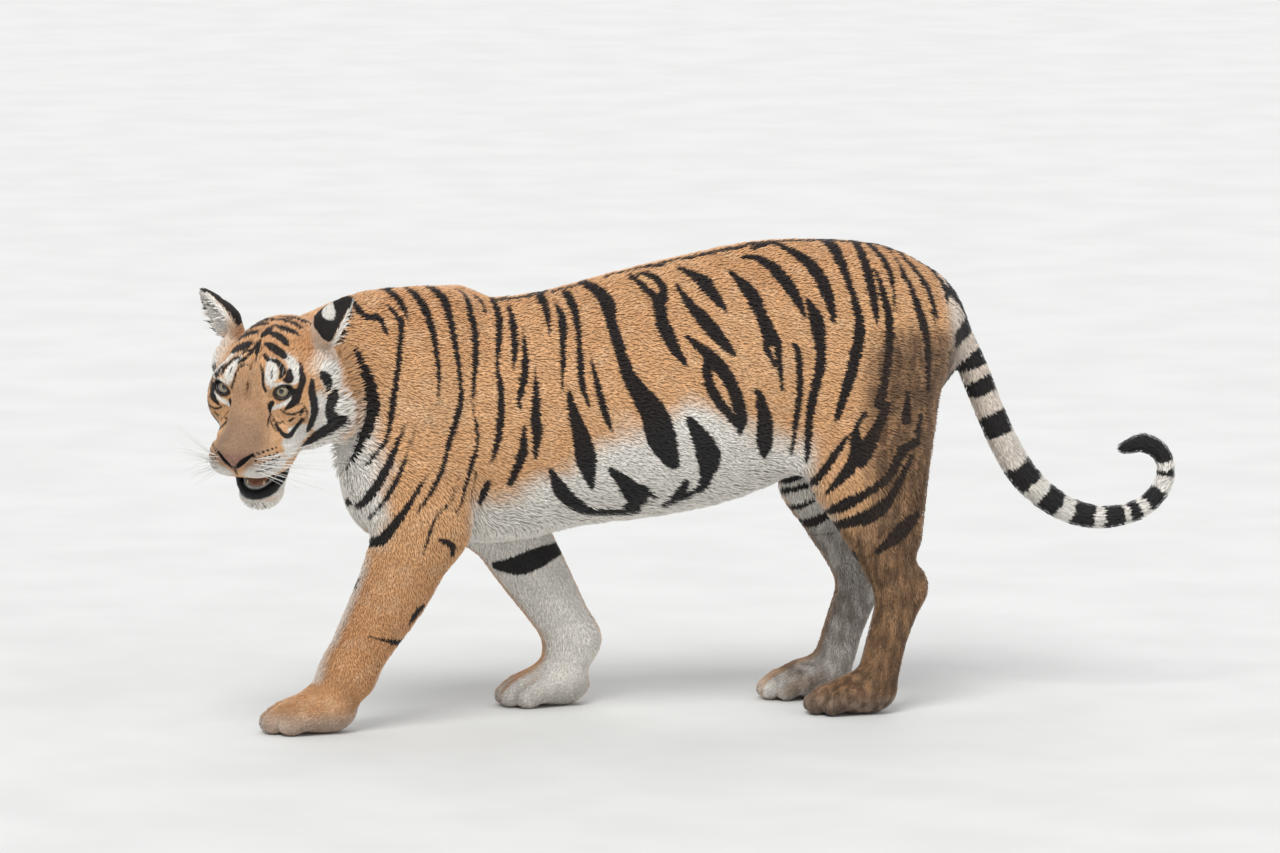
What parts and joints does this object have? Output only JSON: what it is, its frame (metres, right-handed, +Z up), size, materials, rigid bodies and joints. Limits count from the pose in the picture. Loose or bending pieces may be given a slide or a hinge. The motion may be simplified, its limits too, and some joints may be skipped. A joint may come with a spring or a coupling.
{
  "type": "bengal tiger model",
  "caption": "Still life-size model of a Bengal tiger in mid walk, its head turned to its left and its tail curled up at the tip; it stands on its four paws.",
  "frame": {"origin": "on the floor, under the middle of the whole outline's box", "axes": "+Z up; the tiger walks towards -X and its left side faces -Y"},
  "size_m": [2.1518, 0.5636, 1.004],
  "materials": {
    "orange_fur": "short striped fur",
    "pale_fur": "longer pale fur",
    "ear_fur": "short fur, black behind",
    "tail_fur": "dense ringed fur",
    "eye": "wet gloss",
    "tongue": "moist"
  },
  "bodies": {
    "root": {"head": "orange_fur", "lower_jaw": "pale_fur", "tongue": "tongue", "ear_left": "ear_fur", "ear_right": "ear_fur", "eye_left": "eye", "eye_right": "eye", "neck": "orange_fur", "shoulders": "orange_fur", "trunk": "orange_fur", "hindquarters": "orange_fur", "foreleg_left": "orange_fur", "forepaw_left": "orange_fur", "foreleg_right": "orange_fur", "forepaw_right": "orange_fur", "thigh_left": "orange_fur", "shank_left": "orange_fur", "hock_left": "orange_fur", "hindpaw_left": "orange_fur", "thigh_right": "orange_fur", "shank_right": "orange_fur", "hock_right": "orange_fur", "hindpaw_right": "orange_fur", "tail_1": "tail_fur", "tail_2": "tail_fur", "tail_3": "tail_fur", "tail_4": "tail_fur", "tail_5": "tail_fur", "tail_6": "tail_fur"}
  },
  "joints": []
}
